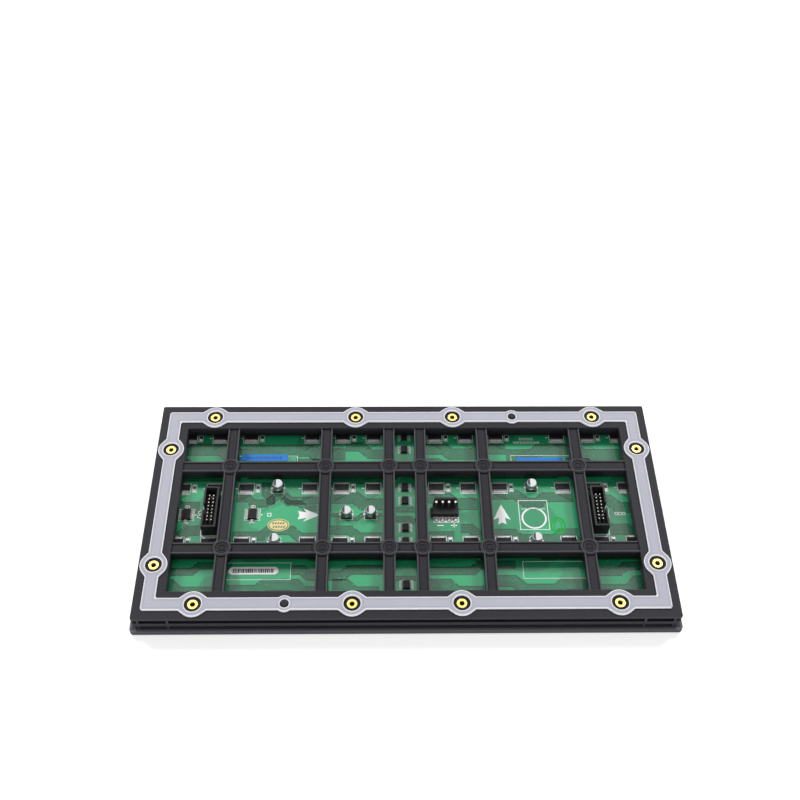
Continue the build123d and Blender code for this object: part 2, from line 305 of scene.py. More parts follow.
case_plastic = plastic(
    "case plastic", (0.020, 0.019, 0.0245), edge_mm=0.36, gloss=0.46, shine=0.17, edge_highlight=0.85,
    painted_light=case_painted_light,
)
for node in ("rear_case_frame", "rear_case_ribs", "screw_bosses"):
    dress(node, case_plastic)

# Moulded marks of the rear case
# A raised square and a thin ring in the recess of each boss, and shallow gate marks along the ribs.
# They are moulded in one with the case, so they share its plastic.

bosses = [(side * x, y) for x in rib_x for side in (-1, 1) for y in (-rib_y, rib_y)]
recess_z = rear - 0.6
rib_bed_z = rear - 1.1
ring_profile = [(3.75, 0), (3.65, 0.16), (3.35, 0.16), (3.25, 0)]
gate_profile = [(1.15, 0), (1.05, 0.14), (0.85, 0.14), (0.8, 0.02), (0, 0.02)]
square_outer, square_inner, square_rise = 1.9, 1.45, 0.22
gates = [(-94, -30), (-22, -30), (62, -30), (98, 30), (-62, 30), (30, 30), (50, 6), (-50, -5), (110, -8)]


class Piece:
    """Points in millimetres and faces, gathered for one added piece."""

    def __init__(self):
        self.points = []
        self.faces = []
        self.count = 0

    def add(self, points, faces, places=((0, 0, 0),)):
        """Adds a shape once at each place: every point of the shape plus every place."""
        copies = np.asarray(places, float)[:, None] + np.asarray(points, float)
        for copy in copies:
            self.points.append(copy)
            self.faces.extend([tuple(i + self.count for i in face) for face in faces])
            self.count += len(copy)

    def block(self, low, high, places=((0, 0, 0),)):
        """Adds a box: each corner takes low or high on each axis, by the bits of its number."""
        axis = np.arange(3)
        corners = np.array([low, high], float)[np.arange(8)[:, None] >> axis & 1, axis]
        quads = [(0, 2, 3, 1), (4, 5, 7, 6), (0, 1, 5, 4), (2, 6, 7, 3), (0, 4, 6, 2), (1, 3, 7, 5)]
        self.add(corners, quads, places)

    def prism(self, outline, low, high, places=((0, 0, 0),)):
        """Adds an upright prism on an outline given anticlockwise, open underneath."""
        n = len(outline)
        rings = [np.column_stack([outline, np.full(n, height)]) for height in (low, high)]
        sides = [(i, (i + 1) % n, n + (i + 1) % n, n + i) for i in range(n)]
        self.add(np.concatenate(rings), sides + [tuple(range(n, 2 * n))], places)

    def turned(self, profile, sides, places=((0, 0, 0),)):
        """Adds a turned shape: radius times cosine, radius times sine and height, round each ring."""
        angles = 2 * np.pi * np.arange(sides) / sides
        radius, height = np.array(profile, float).T[:, :, None]
        rings = np.stack([radius * np.cos(angles), radius * np.sin(angles), height + 0 * angles], -1)
        ring, i = np.meshgrid(np.arange(len(profile) - 1) * sides, np.arange(sides), indexing="ij")
        after = (i + 1) % sides
        quads = np.stack([ring + i, ring + after, ring + sides + after, ring + sides + i], -1)
        self.add(rings.reshape(-1, 3), quads.reshape(-1, 4).tolist(), places)

    def strip(self, path, width, z, shift=0.0, closed=False):
        """Adds a flat ribbon along a path, shifted sideways.

        At each point the ribbon's two edges lie along the sum of the normals of the path before and after
        it, divided by that sum's reach across the path, so that corners are mitred.
        """
        path = np.asarray(path, float)
        n = len(path)
        after = np.roll(path, -1, 0) - path
        after /= np.maximum(np.linalg.norm(after, axis=1, keepdims=True), 1e-9)
        before = np.roll(after, 1, 0)
        if not closed:
            before[0] = after[0]
            after[-1] = before[-1]
        quarter_turn = np.array([[0, 1], [-1, 0]])
        side = (before + after) @ quarter_turn
        across = before @ quarter_turn
        side /= np.maximum(np.abs((side * across).sum(1, keepdims=True)), 0.3)
        edges = np.stack([path + side * (shift - width / 2), path + side * (shift + width / 2)], 1)
        points = np.concatenate([edges, np.full((n, 2, 1), z)], -1).reshape(-1, 3)
        last = n if closed else n - 1
        quads = [(2 * i, 2 * ((i + 1) % n), 2 * ((i + 1) % n) + 1, 2 * i + 1) for i in range(last)]
        self.add(points, quads)

    def make(self, name, surface):
        """Makes the mesh object in metres."""
        mesh = bpy.data.meshes.new(name)
        mesh.from_pydata(np.concatenate(self.points) / 1000, [], self.faces)
        mesh.materials.append(surface.data)
        made = bpy.data.objects.new(name, mesh)
        bpy.context.scene.collection.objects.link(made)
        return made

    def store(self, name, surface):
        """Makes the mesh object, riding on the module."""
        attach(self.make(name, surface), "root")


marks = Piece()
recesses = [(x, y, recess_z) for x, y in bosses]
marks.turned(ring_profile, 40, recesses)
for turn in (-1, 1):
    low, high = sorted((turn * square_inner, turn * square_outer))
    marks.block((-square_outer, low, 0), (square_outer, high, square_rise), recesses)
    marks.block((low, -square_inner, 0), (high, square_inner, square_rise), recesses)
marks.turned(gate_profile, 20, [(x, y, rib_bed_z) for x, y in gates])
marks.store("moulded_marks", case_plastic)

# Sealing gasket
# Grey foamed rubber, cut as one strip with an eyelet at each insert and post, and laid on the case.
# A raised rim follows every edge, painted pale as a highlight, and a faint line runs inside it.

strip_half_width = 3.9
shoulder_lean = math.radians(38)
post_x = 70.5
eyelet_radius, eyelet_hole = 8.1, 5.0
post_eyelet_radius, post_eyelet_hole = 5.2, 2.7
no_post = 99.0  # Added to the distance in the two quarters that have no post.


def past_eyelet(along, across, radius):
    """Distance outside an eyelet with straight shoulders, and distance from its middle.

    The shoulders are lines at the lean angle that touch the circle, so the eyelet is whatever lies inside
    the circle or under both a shoulder and the height where it touches.
    """
    side, off = abs(along), abs(across)
    middle = reach(side, off)
    shoulder = side * math.sin(shoulder_lean) + off * math.cos(shoulder_lean) - radius
    wing = larger(shoulder, off - radius * math.cos(shoulder_lean))
    return smaller(wing, middle - radius), middle


rubber = Surface("gasket rubber")
x, y, _ = rubber.axes()
side_x, side_y = abs(x), abs(y)
to_seal = side_y - seal_y
to_post = side_x - post_x + (x * y < 0) * no_post
edge = abs(larger(side_x - seal_x, to_seal)) - strip_half_width
for along, across, radius, hole in (
    (side_x - insert_x[0], to_seal, eyelet_radius, eyelet_hole),
    (side_x - insert_x[1], to_seal, eyelet_radius, eyelet_hole),
    (side_y - insert_y, side_x - seal_x, eyelet_radius, eyelet_hole),
    (to_post, to_seal, post_eyelet_radius, post_eyelet_hole),
):
    outside, middle = past_eyelet(along, across, radius)
    edge = larger(smaller(edge, outside), hole - middle)
rim = edge.ramp(-0.75, -0.5)
line = edge.band(-1.5, 0.1, 0.5)
pores = rubber.noise(2.2, 4, 0.6)
shade = rubber.blend(rubber.noise(0.05, 3), (0.40, 0.405, 0.47), (0.47, 0.475, 0.55))
# Painted highlight: the rim is painted pale; the bump raises it.
rim_painted_highlight = rubber.blend(rim * 0.9, shade, (0.86, 0.86, 0.90))
rubber.finish(
    Base_Color=rubber.blend(line * 0.5, rim_painted_highlight, (0.33, 0.33, 0.39)),
    Roughness=0.6 + pores * 0.2,
    Normal=rubber.bump(pores * 0.3 + rim * 2, 0.12, rubber.round_edges(0.3)),
)
dress("sealing_gasket", rubber)

# Circuit board
# Green glass-epoxy board, held between the mask and the screw bosses; its solder mask is glossy.
# It is lighter over copper pours and darker between them, and the weave shows as a faint bump.

board_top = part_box("lamp_board")[1].z * 1000

mask_green = Surface("solder mask")
x, y, _ = mask_green.axes()
weave = mask_green.maths("SINE", x * 7.0) * mask_green.maths("SINE", y * 7.0)
bare_patch = mask_green.noise(0.022, 1, 0.4, (1, 1.7, 1)).ramp(0.5, 0.515)
copper = mask_green.blend(mask_green.noise(0.03, 4), (0.014, 0.35, 0.14), (0.02, 0.43, 0.18))
mask_green.finish(
    Base_Color=mask_green.blend(bare_patch * 0.5, copper, (0.010, 0.18, 0.08)),
    Roughness=0.16 + mask_green.noise(0.5, 3) * 0.08,
    Coat_Weight=0.5,
    Normal=mask_green.bump(weave + mask_green.noise(0.8, 3) * 2, 0.003, mask_green.round_edges(0.1)),
)
dress("lamp_board", mask_green)

# Board tracks
# The dark gaps between copper tracks, etched in bundles of parallel lines with 45 degree bends.
# Each bundle is a path and its width in lines; short fans of gaps lead away from every driver chip.

laminate = Surface("bare laminate")
laminate.finish(
    Base_Color=laminate.blend(laminate.noise(0.4, 3), (0.004, 0.030, 0.018), (0.007, 0.050, 0.030)),
    Roughness=0.2 + laminate.noise(0.7, 2) * 0.08,
    Coat_Weight=0.5,
)
gap_z = board_top + 0.02
gap_pitch = 0.75
gap_width, outer_gap_width, fan_gap_width = 0.46, 0.65, 0.2
gap_share = 0.82
bundles = [
    ([(-157, 50), (-118, 50), (-114, 46), (-98, 46), (-95, 49), (-60, 49), (-57, 46), (-38, 46)], 16),
    ([(-38, 52), (-28, 52), (-22, 46), (-8, 46)], 12),
    ([(8, 50), (26, 50), (30, 46), (45, 46), (49, 50), (66, 50)], 15),
    ([(66, 45), (84, 45), (88, 49), (112, 49), (116, 45), (157, 45)], 16),
    ([(-157, 10), (-146, 10), (-141, 5), (-128, 5)], 15),
    ([(-106, 12), (-99, 12), (-95, 8), (-86, 8), (-80, 14), (-76, 14), (-72, 10), (-54, 10)], 10),
    ([(-87.5, 24), (-87.5, 15), (-84, 11.5), (-84, 7)], 9),
    ([(-77, 12), (-73, 8), (-66, 8), (-62, 4), (-55, 4)], 7),
    ([(-46, 12), (-31, 12), (-26, 7), (-14, 7)], 15),
    ([(-46, -1), (-39, -1), (-36, -4), (-30, -4), (-27, -1), (-14, -1)], 5),
    ([(-106, -16), (-88, -16), (-84, -12), (-70, -12), (-65, -17), (-54, -17)], 11),
    ([(-155, -16), (-138, -16), (-134, -12), (-114, -12)], 12),
    ([(-46, -12), (-34, -12), (-29, -17), (-14, -17)], 11),
    ([(-6, 3), (6, 3)], 7),
    ([(-6, -4), (3, -4), (6, -7)], 7),
    ([(14, 12), (26, 12), (31, 7), (46, 7)], 15),
    ([(34, -11), (40, -11), (46, -17)], 11),
    ([(14, -16), (30, -16)], 10),
    ([(54, 14), (70, 14), (76, 8), (84, 8), (88, 12), (106, 12)], 12),
    ([(54, -15), (66, -15), (70, -19), (92, -19), (96, -15), (106, -15)], 12),
    ([(114, 10), (128, 10), (134, 4), (157, 4)], 13),
    ([(126, -12), (138, -12), (142, -16), (157, -16)], 13),
    ([(-157, -41), (-128, -41), (-124, -37), (-104, -37)], 9),
    ([(-157, -50), (-140, -50), (-135, -55), (-113, -55)], 14),
    ([(-69, -40), (-62, -40), (-58, -44), (-38, -44), (-34, -40), (-14, -40)], 11),
    ([(-106, -54), (-88, -54), (-84, -50), (-66, -50), (-61, -55), (-46, -55)], 13),
    ([(-44, -50), (-36, -50), (-31, -55), (-16, -55)], 12),
    ([(-6, -46), (6, -46)], 6),
    ([(10, -41), (40, -41), (44, -37), (66, -37)], 10),
    ([(14, -50), (25, -50), (30, -55), (46, -55)], 12),
    ([(52, -48), (64, -48), (70, -54), (90, -54), (94, -50), (108, -50)], 14),
    ([(112, -42), (128, -42), (132, -38), (157, -38)], 10),
    ([(112, -55), (132, -55), (138, -49), (157, -49)], 15),
    ([(-157, 40), (-140, 40), (-136, 36), (-112, 36)], 10),
    ([(-70, 40), (-56, 40), (-52, 36), (-14, 36)], 9),
    ([(10, 40), (22, 40), (26, 36), (68, 36)], 9),
    ([(104, 40), (118, 40), (122, 36), (157, 36)], 9),
    ([(-157, 27), (-104, 27)], 7),
    ([(-100, 29), (-60, 29), (-56, 25), (-14, 25)], 8),
    ([(12, 25), (50, 25), (54, 29), (98, 29)], 8),
    ([(-157, -28), (-60, -28), (-57, -31), (12, -31)], 9),
    ([(14, -28), (80, -28), (83, -31), (157, -31)], 9),
]
chip_rows = [row * 40 - 60.5 for row in range(4)]
driver_columns = (1, 2, 3, 5, 6, 7)
drivers = [(side * column * 20, y) for y in chip_rows for column in driver_columns for side in (-1, 1)]
driver_reach = 3.4

tracks = Piece()
for path, span in bundles:
    lines = round(span * gap_share)
    for k in range(lines):
        width = gap_width if 0 < k < lines - 1 else outer_gap_width
        tracks.strip(path, width, gap_z, (k - (lines - 1) / 2) * gap_pitch)
for cx, cy in drivers:
    outward = 1 if cx > 0 else -1
    near, far = cy - driver_reach, cy + driver_reach
    for k in range(8):
        foot = cx - 3.5 + k
        drop = 1.5 + 0.6 * (k if cx > 0 else 7 - k)
        bend = [(foot, near), (foot, near - drop), (foot + outward * 1.2, near - 1.2 - drop)]
        tracks.strip(bend, fan_gap_width, gap_z)
        tracks.strip([(foot, far), (foot, far + 0.8 + 0.25 * drop)], fan_gap_width, gap_z)
tracks.store("board_tracks", laminate)

# Vias
# Small plated holes drilled beside the bundles: a pale ring of copper with a dark middle.
# Rings and middles are two pieces that share their places.

rng = np.random.default_rng(11)
via_z = gap_z + 0.01
via_radius, via_hole = 0.42, 0.2
vias = []
for path, span in bundles:
    verge = (span * gap_share / 2 + 1.2) * gap_pitch
    for (ax, ay), (bx, by) in zip(path[:-1], path[1:]):
        for t in rng.random(2):
            vias.append((ax + (bx - ax) * t, ay + (by - ay) * t + verge * rng.choice([-1, 1]), via_z))

ring_copper = Surface("via rings")
ring_copper.finish(
    Base_Color=ring_copper.blend(ring_copper.noise(1.0), (0.10, 0.42, 0.24), (0.14, 0.5, 0.3)),
    Roughness=0.35,
)
via_rings = Piece()
via_rings.turned([(via_radius, 0), (via_hole, 0.01)], 12, vias)
via_rings.store("via_rings", ring_copper)

hole_shade = Surface("via holes")
hole_shade.finish(
    Base_Color=hole_shade.blend(hole_shade.noise(1.0), (0.004, 0.03, 0.02), (0.008, 0.04, 0.03)),
    Roughness=0.6,
)
via_holes = Piece()
via_holes.turned([(via_hole, 0.005), (0.0, 0.005)], 12, vias)
via_holes.store("via_holes", hole_shade)

# Silk screen
# White ink printed on the solder mask: frames round the parts and labels, two arrows, a ring in a box.
# Its coverage is slightly ragged, so colour and height vary with a fine noise.

ink_z = board_top + 0.045
switches = [(0, y) for y in chip_rows] + [(0, -50.5), (0, -10.5), (0, 9.5), (0, 49.5)]
buffers = [(-135.5, -0.5), (-94.7, -0.5)]
ceramic_offset = 5.3
resistor_columns = (-7, -5, -2, 1, 3, 6)
resistors = [(column * 20 + 7.35, y) for y in chip_rows for column in resistor_columns]
cans = [(side * 80.0, y) for side in (-1, 1) for y in (19.5, -20.5)] + [(-36.5, -0.5), (-21.5, -0.5)]
header_x = 120
sign_x, sign_y, sign_radius = 80, -3.6, 7.3

white_ink = Surface("silk ink")
ragged = white_ink.noise(3.0, 3)
white_ink.finish(
    Base_Color=white_ink.blend(ragged, (0.84, 0.86, 0.86), (0.93, 0.94, 0.94)),
    Roughness=0.55 + ragged * 0.15,
    Normal=white_ink.bump(ragged, 0.01),
)
silk = Piece()


def circle(radius, sides, x=0.0, y=0.0):
    """Points of a circle, anticlockwise: the middle plus radius times cosine and sine."""
    angles = 2 * np.pi * np.arange(sides) / sides
    return np.column_stack([x + radius * np.cos(angles), y + radius * np.sin(angles)])


def silk_frame(x0, x1, y0, y1, width=0.3):
    """Outlines a rectangle in white ink."""
    silk.strip([(x0, y0), (x1, y0), (x1, y1), (x0, y1)], width, ink_z, closed=True)


def silk_frame_round(cx, cy, half_x, half_y, width):
    """Outlines a rectangle in white ink about its middle."""
    silk_frame(cx - half_x, cx + half_x, cy - half_y, cy + half_y, width)


def silk_shape(outline):
    """Fills an outline with white ink."""
    points = np.column_stack([outline, np.full(len(outline), ink_z)])
    silk.add(points, [tuple(range(len(outline)))])


for cx, cy in drivers:
    silk_frame(cx - 4.9, cx + 4.9, cy - 3.85, cy + 3.75, 0.4)
    for lift, width in ((-4.05, 1.2), (-2.2, 0.6), (3.75, 0.8)):
        silk.strip([(cx - 4.9, cy + lift), (cx + 4.9, cy + lift)], width, ink_z)
    silk.strip([(cx - 7.2, cy - 0.3), (cx - 5.6, cy - 0.3)], 0.6, ink_z)
for cx, cy in switches:
    for near, far in ((-2.6, -3.9), (2.6, 3.9)):
        bracket = [(near, cy - 2.9), (far, cy - 2.9), (far, cy + 2.9), (near, cy + 2.9)]
        silk.strip(bracket, 0.3, ink_z)
    silk_shape(circle(0.35, 12, cx - 1.9, cy + 3.3))
for cx, cy in buffers:
    silk_frame_round(cx, cy, 4.7, 4.2, 0.3)
    for side in (-1, 1):
        silk_frame_round(cx, cy + side * ceramic_offset, 1.3, 1.3, 0.3)
    silk_shape(circle(0.45, 12, cx + 5.7, cy))
for cx, cy in resistors:
    silk_frame_round(cx, cy, 1.35, 3.2, 0.25)
for cx, cy in cans:
    low_corner = [(-3.9, -1.2), (-3.9, -3.9), (3.9, -3.9), (3.9, -1.2)]
    cut_corners = [(3.9, 1.2), (3.9, 2.9), (2.9, 3.9), (-2.9, 3.9), (-3.9, 2.9), (-3.9, 1.2)]
    for bracket in (low_corner, cut_corners):
        silk.strip(np.add(bracket, (cx, cy)), 0.25, ink_z)
for side in (-1, 1):
    silk_frame_round(side * header_x, 0, 5.4, 15.8, 0.5)
    inner, outer = side * (header_x + 5.4), side * (header_x + 6.8)
    silk.strip([(inner, -3), (outer, -3), (outer, 3), (inner, 3)], 0.5, ink_z)
silk_frame(-107, -69, 36.5, 44.7)
silk_frame(69, 107, 36.5, 44.7)
silk_frame(-107, -69, -46.5, -35)
silk_frame(70.2, 108.2, -46.3, -34.8)

silk_frame(71, 89, -12, 9.5, 0.45)
silk.strip([(72.5, 3.2), (87.5, 3.2)], 0.35, ink_z)
silk.strip(circle(sign_radius, 48, sign_x, sign_y), 1.1, ink_z, closed=True)
across_arrow = [(-66.6, 2.2), (-65.6, -0.9), (-66.6, -4.0), (-61.2, -2.9)]
across_arrow += [(-63.4, -5.8), (-53.0, -0.9), (-63.4, 4.0), (-61.2, 1.1)]
up_arrow = [(57.4, -8.2), (60, -6.9), (62.6, -8.2), (61.8, -3.2)]
up_arrow += [(65.3, -4.8), (60, 6.6), (54.7, -4.8), (58.2, -3.2)]
power_patch = [(17.4, -6.6), (33.4, -6.6), (33.4, -2.6), (17.4, -2.6)]
for outline in (across_arrow, up_arrow, power_patch):
    silk_shape(outline)
minus = [(19.6, -8.8), (23.6, -8.8)]
plus = [[(28.2, -8.8), (32.0, -8.8)], [(30.1, -7.4), (30.1, -10.2)]]
for stroke in (minus, *plus):
    silk.strip(stroke, 0.7, ink_z)
silk_frame(-85.3, -83.3, -1.6, 0.6, 0.5)
for cx, cy in ((131.6, -0.5), (134.0, -0.5), (136.4, -0.5), (-127.6, 1.2), (-127.6, -1.6)):
    silk_frame_round(cx, cy, 0.8, 0.9, 0.4)
for k in range(4):
    silk_frame(75.6 + 2.4 * k, 77.0 + 2.4 * k, 57.4, 58.8, 0.4)
for k in range(8):
    silk_frame(71.6 + 2.2 * k, 72.8 + 2.2 * k, 54.6, 55.8, 0.4)
silk.store("silk_screen", white_ink)

# Chip legs
# Gull-wing legs of the driver, switch and buffer chips, stamped from tinned strip and soldered down.
# Each is one bent strip: a shoulder, a slope and a foot.

leg_stations = np.array([(-0.1, 0.95), (0.3, 0.95), (0.55, 0.2), (1.1, 0.14)])
leg_thickness = 0.14
tinned_z = board_top + 0.03
chip_kinds = (
    dict(chips=drivers, sides=[(0, -1), (0, 1)], half=1.95, legs=12, step=0.635, leg=0.28),
    dict(chips=switches, sides=[(-1, 0), (1, 0)], half=1.95, legs=4, step=1.27, leg=0.42),
    dict(chips=buffers, sides=[(-1, 0), (1, 0)], half=2.65, legs=10, step=0.65, leg=0.26),
)

tinned = Surface("tinned metal")
dull = tinned.noise(1.5, 3)
tinned.finish(
    Base_Color=tinned.blend(dull, (0.84, 0.83, 0.83), (0.95, 0.94, 0.94)),
    Metallic=0.15,
    Roughness=0.3 + dull * 0.25,
    Normal=tinned.bump(dull, 0.01),
)


def leg_spots(kind, side, out):
    """Places in a row on one side of each chip of a kind: a distance out, and evenly spaced along."""
    dx, dy = side
    slide = (np.arange(kind["legs"]) - (kind["legs"] - 1) / 2) * kind["step"]
    rows = [(cx + dx * out + abs(dy) * slide, cy + dy * out + abs(dx) * slide) for cx, cy in kind["chips"]]
    return [(px, py, tinned_z) for row in rows for px, py in zip(*row)]


def bent_leg(kind, side):
    """Points and faces of one leg: its stations out from the chip, across its width and through it."""
    dx, dy = side
    half_width = kind["leg"] / 2
    grid = np.meshgrid(np.arange(4), (-half_width, half_width), (-leg_thickness, 0), indexing="ij")
    station, width, lift = grid
    out = kind["half"] + leg_stations[station, 0]
    up = leg_stations[station, 1] + lift
    points = np.stack([dx * out - dy * width, dy * out + dx * width, up], -1).reshape(-1, 3)
    loop = np.array([(1, 5, 7, 3), (0, 2, 6, 4), (0, 4, 5, 1), (2, 3, 7, 6)])
    quads = np.concatenate([loop + 4 * k for k in range(3)] + [[(12, 14, 15, 13)]])
    return points, quads.tolist()


legs = Piece()
for kind in chip_kinds:
    for side in kind["sides"]:
        legs.add(*bent_leg(kind, side), leg_spots(kind, side, 0))
legs.store("chip_legs", tinned)

# Solder pads
# Flat tinned pads under the legs and the small parts, and low solder mounds round the power pins.
# They share the legs' tinned metal.

pad_rise, can_pad_rise = 0.06, 0.12
pad_sizes = ((2.95, 0.5, 1.4), (2.95, 0.6, 1.2), (3.6, 0.36, 1.1))
mound_profile = [(1.15, 0), (0.95, 0.25), (0.6, 0.5), (0.0, 0.6)]
power_pads = [(25.1 + (k - 1.5) * 3.96, -4.7) for k in range(4)]


def rectangle(length, width):
    """Corners of a rectangle about its middle, anticlockwise."""
    a, b = length / 2, width / 2
    return [(-a, -b), (a, -b), (a, b), (-a, b)]


def both_sides(places, x, y, z):
    """Two places for each place given: an offset away from it on either side."""
    return [(cx + side * x, cy + side * y, z) for cx, cy in places for side in (-1, 1)]


pads = Piece()
for kind, (out, width, length) in zip(chip_kinds, pad_sizes):
    for side in kind["sides"]:
        size = (width, length) if side[1] else (length, width)
        pads.prism(rectangle(*size), 0, pad_rise, leg_spots(kind, side, out))
pads.prism(rectangle(1.5, 2.9), 0, pad_rise, both_sides(buffers, 0, ceramic_offset, tinned_z))
pads.prism(rectangle(1.9, 1.3), 0, pad_rise, both_sides(resistors, 0, 2.1, tinned_z))
pads.prism(rectangle(1.8, 1.4), 0, can_pad_rise, both_sides(cans, 3.6, 0, tinned_z))
pads.turned(mound_profile, 18, [(x, y, tinned_z) for x, y in power_pads])
pads.store("solder_pads", tinned)

# Chip bodies
# Satin black epoxy, moulded round the chips' frames; the three kinds of chip share it.
# A small round mark in one corner of each body shows its first pin.

mark_rise = 0.004
driver_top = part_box("driver_chips")[1].z * 1000 + 0.01
buffer_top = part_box("buffer_chips")[1].z * 1000 + 0.01

epoxy = plastic(
    "chip epoxy", (0.007, 0.007, 0.008), edge_mm=0.12, grain_mm=0.02, dust=0.12, shine=0.2
)
for node in ("driver_chips", "row_switch_chips", "buffer_chips"):
    dress(node, epoxy)
mark_grey = Surface("pin mark")
mark_grey.finish(
    Base_Color=mark_grey.blend(mark_grey.noise(2.0), (0.06, 0.06, 0.065), (0.1, 0.1, 0.1)),
    Roughness=0.7,
)
pin_marks = Piece()
for chips, radius, x, y, top in (
    (drivers, 0.32, -3.6, -1.25, driver_top),
    (switches, 0.3, -1.35, 1.8, driver_top),
    (buffers, 0.35, -1.9, 2.8, buffer_top),
):
    disc = [(radius, mark_rise), (0.0, mark_rise)]
    pin_marks.turned(disc, 14, [(cx + x, cy + y, top) for cx, cy in chips])
pin_marks.store("pin_marks", mark_grey)

# Resistors and ceramic capacitors
# Resistors have a glossy black coat and capacitors a tan fired body, and both are soldered at each end.
# Their tinned end caps wrap the body a hair outside it.

cap_half_width = 0.82
ceramics = [(cx, cy + side * ceramic_offset) for cx, cy in buffers for side in (-1, 1)]

for name, node, dark, light, gloss in (
    ("resistor coat", "chip_resistors", (0.018, 0.018, 0.02), (0.035, 0.035, 0.04), 0.3),
    ("fired ceramic", "ceramic_capacitors", (0.30, 0.20, 0.11), (0.40, 0.28, 0.17), 0.45),
):
    coat = Surface(name)
    shade = coat.blend(coat.noise(0.8), dark, light)
    coat.finish(Base_Color=shade, Roughness=gloss, Normal=coat.round_edges(0.08))
    dress(node, coat)
end_caps = Piece()
for node, places, inner, outer in (
    ("chip_resistors", resistors, 1.15, 1.62),
    ("ceramic_capacitors", ceramics, 0.65, 1.02),
):
    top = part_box(node)[1].z * 1000 + 0.02
    for side in (-1, 1):
        y0, y1 = sorted((side * inner, side * outer))
        ends = (-cap_half_width, y0, board_top + 0.02), (cap_half_width, y1, top)
        end_caps.block(*ends, [(cx, cy, 0) for cx, cy in places])
end_caps.store("end_caps", tinned)

# Electrolytic capacitors
# Brushed aluminium cans crimped on black bases; the brushing runs round each can, its lid is paler.
# A black sector is printed on each lid, and black rings of the same ink lie round the power pins.

lid_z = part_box("capacitor_cans")[1].z * 1000

aluminium = Surface("can aluminium")
brush = aluminium.noise(0.9, 5, 0.6, (1, 1, 9))
lid = (aluminium.axes()[2] - lid_z).ramp(-0.5, -0.1)
flank = aluminium.blend(brush, (0.30, 0.31, 0.32), (0.48, 0.49, 0.50))
aluminium.finish(
    Base_Color=aluminium.blend(lid, flank, (0.58, 0.59, 0.61)),
    Metallic=1 - lid * 0.6,
    Roughness=0.27 + brush * 0.16,
    Normal=aluminium.bump(brush, 0.01, aluminium.round_edges(0.15)),
)
dress("capacitor_cans", aluminium)
base_plastic = plastic(
    "base plastic", (0.008, 0.008, 0.008), edge_mm=0.15, grain_mm=0.01, gloss=0.4, dust=0.15
)
dress("capacitor_bases", base_plastic)
black_ink = Surface("can print")
black_ink.finish(
    Base_Color=black_ink.blend(black_ink.noise(1.5), (0.012, 0.012, 0.014), (0.03, 0.03, 0.03)),
    Roughness=0.45,
)
turn = np.linspace(0.62 * np.pi, 1.38 * np.pi, 24)
sector = np.column_stack([2.7 * np.cos(turn), 2.7 * np.sin(turn), np.full(24, 0.012)])
prints = Piece()
prints.add(sector, [tuple(range(24))], [(cx, cy, lid_z) for cx, cy in cans])
prints.turned([(1.6, 0.0), (1.2, 0.0)], 20, [(x, y, ink_z + 0.02) for x, y in power_pads])
prints.store("can_prints", black_ink)

# Ribbon headers and power connector
# Moulded black shrouds, glossier than the case, stand on the board round plated pins whose shafts are
# painted dark as shade below bright tips.
# A small pale bar in each header marks its first pin.

pin_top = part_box("input_header_pins")[1].z * 1000
power_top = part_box("power_pins")[1].z * 1000
header_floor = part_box("input_header")[1].z * 1000 - 6.98

shroud = plastic(
    "connector plastic", (0.007, 0.007, 0.008), edge_mm=0.15, grain_mm=0.01, gloss=0.38, dust=0.1, shine=0.3
)
for node in ("input_header", "output_header", "power_connector"):
    dress(node, shroud)
pin_plate = Surface("pin plate")
# Painted shade: the header pins are dark below their tips.
tip = (pin_plate.axes()[2] - pin_top).ramp(-1.3, -0.5)
pin_plate.finish(
    Base_Color=pin_plate.blend(tip, (0.045, 0.038, 0.026), (0.52, 0.51, 0.47)),
    Metallic=0.7,
    Roughness=0.25 + pin_plate.noise(2.0) * 0.1,
    Normal=pin_plate.round_edges(0.12),
)
for node in ("input_header_pins", "output_header_pins"):
    dress(node, pin_plate)
power_plate = Surface("power pin plate")
z = power_plate.axes()[2]
# Painted shade: the power pins are dark between their tips and their feet on the board.
bright = larger((z - power_top).ramp(-0.9, -0.3), 1 - (z - board_top).ramp(0.8, 1.4))
power_plate.finish(
    Base_Color=power_plate.blend(bright, (0.06, 0.058, 0.055), (0.86, 0.85, 0.84)),
    Metallic=0.3,
    Roughness=0.3 + power_plate.noise(2.0) * 0.1,
    Normal=power_plate.round_edges(0.12),
)
dress("power_pins", power_plate)
mark_white = Surface("header mark")
mark_white.finish(
    Base_Color=mark_white.blend(mark_white.noise(1.5), (0.5, 0.5, 0.5), (0.75, 0.75, 0.75)),
    Roughness=0.5,
)
header_marks = Piece()
first_pins = [(side * header_x, 11.4, header_floor) for side in (-1, 1)]
header_marks.block((-1.3, -0.7, 0), (1.3, 0.7, 0.05), first_pins)
header_marks.store("header_marks", mark_white)

# Labels
# Two blue film strips, a white paper strip and a yellow oval, stuck on the board, and a green ink stamp.
# Their print is plain bars, short strokes and rings.

label_z = board_top + 0.05
label_top = label_z + 0.12
print_rise = 0.02
yellow_x, yellow_y = -78.2, -8.2
stamp_x, stamp_y = 94.3, -9.0


def label_film(name, first, second, gloss):
    """Slightly mottled and uneven film, paper or ink."""
    film = Surface(name)
    return film.finish(
        Base_Color=film.blend(film.noise(0.4, 4), first, second),
        Roughness=gloss + film.noise(1.2) * 0.1,
        Normal=film.bump(film.noise(0.25, 2), 0.06, film.round_edges(0.15)),
    )


def rounded_strip(length, width, x, y, sides, roundness):
    """Points of a rectangle with round corners: a circle whose four quarters are moved to the corners."""
    radius = width / 2 * roundness
    quarter = circle(radius, sides)
    return quarter + np.copysign((length / 2 - radius, width / 2 - radius), quarter) + (x, y)


def ellipse(length, width, x, y, sides=48):
    """Points of an ellipse: a circle stretched along each axis."""
    return circle(1, sides) * (length / 2, width / 2) + (x, y)


